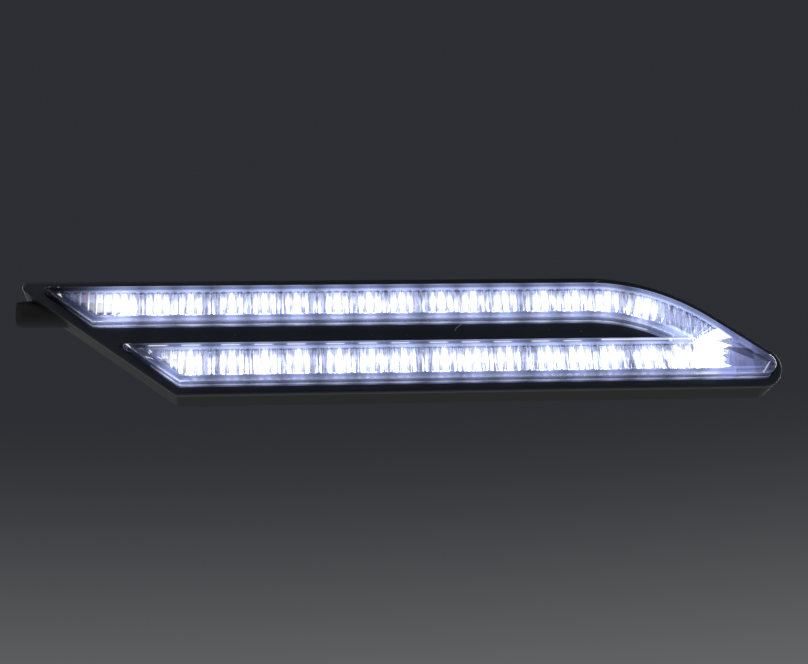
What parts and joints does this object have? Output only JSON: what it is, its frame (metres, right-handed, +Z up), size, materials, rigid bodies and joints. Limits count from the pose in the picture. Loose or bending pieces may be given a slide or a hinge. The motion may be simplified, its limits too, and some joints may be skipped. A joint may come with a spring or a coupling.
{
  "type": "daytime running light",
  "caption": "Slim LED daytime running light with two clear fluted arms that meet in a pointed nose, in a black housing with rear studs.",
  "frame": {"origin": "midway between the two mounting studs, on the plane of the two rear pads", "axes": "+X along the lamp towards the pointed nose, +Y towards the vehicle along the studs (light leaves towards -Y), +Z up"},
  "size_m": [0.2376, 0.0317, 0.0371],
  "materials": {
    "black_plastic": "fine grain",
    "bezel_plastic": "satin",
    "clear_lens": "clear moulded polycarbonate",
    "seal_rubber": "matte",
    "white_plastic": "white satin",
    "board_green": "solder mask",
    "tape_grey": "matte",
    "black_parts": "moulded",
    "ceramic_parts": "matte",
    "wire_red": "insulated wire",
    "wire_black": "insulated wire",
    "grommet_rubber": "matte",
    "membrane_white": "fine mesh",
    "zinc_steel": "zinc plated",
    "led_package": "white package with phosphor"
  },
  "bodies": {
    "root": {"housing": "black_plastic", "bezel": "bezel_plastic", "lens": "clear_lens", "lens_seal": "seal_rubber", "reflector": "white_plastic", "upper_board": "board_green", "lower_board": "board_green", "upper_heat_tape": "tape_grey", "lower_heat_tape": "tape_grey", "upper_resistors": "black_parts", "lower_resistors": "black_parts", "protection_diode": "black_parts", "input_capacitor": "ceramic_parts", "supply_wire_red": "wire_red", "supply_wire_black": "wire_black", "link_wire_red": "wire_red", "link_wire_black": "wire_black", "cable_grommet": "grommet_rubber", "vent_membrane": "membrane_white", "vent_cap": "black_plastic", "mounting_studs": "zinc_steel", "bezel_screws": "zinc_steel", "upper_led_1": "led_package", "upper_led_2": "led_package", "upper_led_3": "led_package", "upper_led_4": "led_package", "upper_led_5": "led_package", "upper_led_6": "led_package", "upper_led_7": "led_package", "upper_led_8": "led_package", "upper_led_9": "led_package", "upper_led_10": "led_package", "upper_led_11": "led_package", "upper_led_12": "led_package", "upper_led_13": "led_package", "upper_led_14": "led_package", "upper_led_15": "led_package", "upper_led_16": "led_package", "lower_led_1": "led_package", "lower_led_2": "led_package", "lower_led_3": "led_package", "lower_led_4": "led_package", "lower_led_5": "led_package", "lower_led_6": "led_package", "lower_led_7": "led_package", "lower_led_8": "led_package", "lower_led_9": "led_package", "lower_led_10": "led_package", "lower_led_11": "led_package", "lower_led_12": "led_package", "lower_led_13": "led_package", "lower_led_14": "led_package", "lower_led_15": "led_package", "lower_led_16": "led_package"}
  },
  "joints": []
}
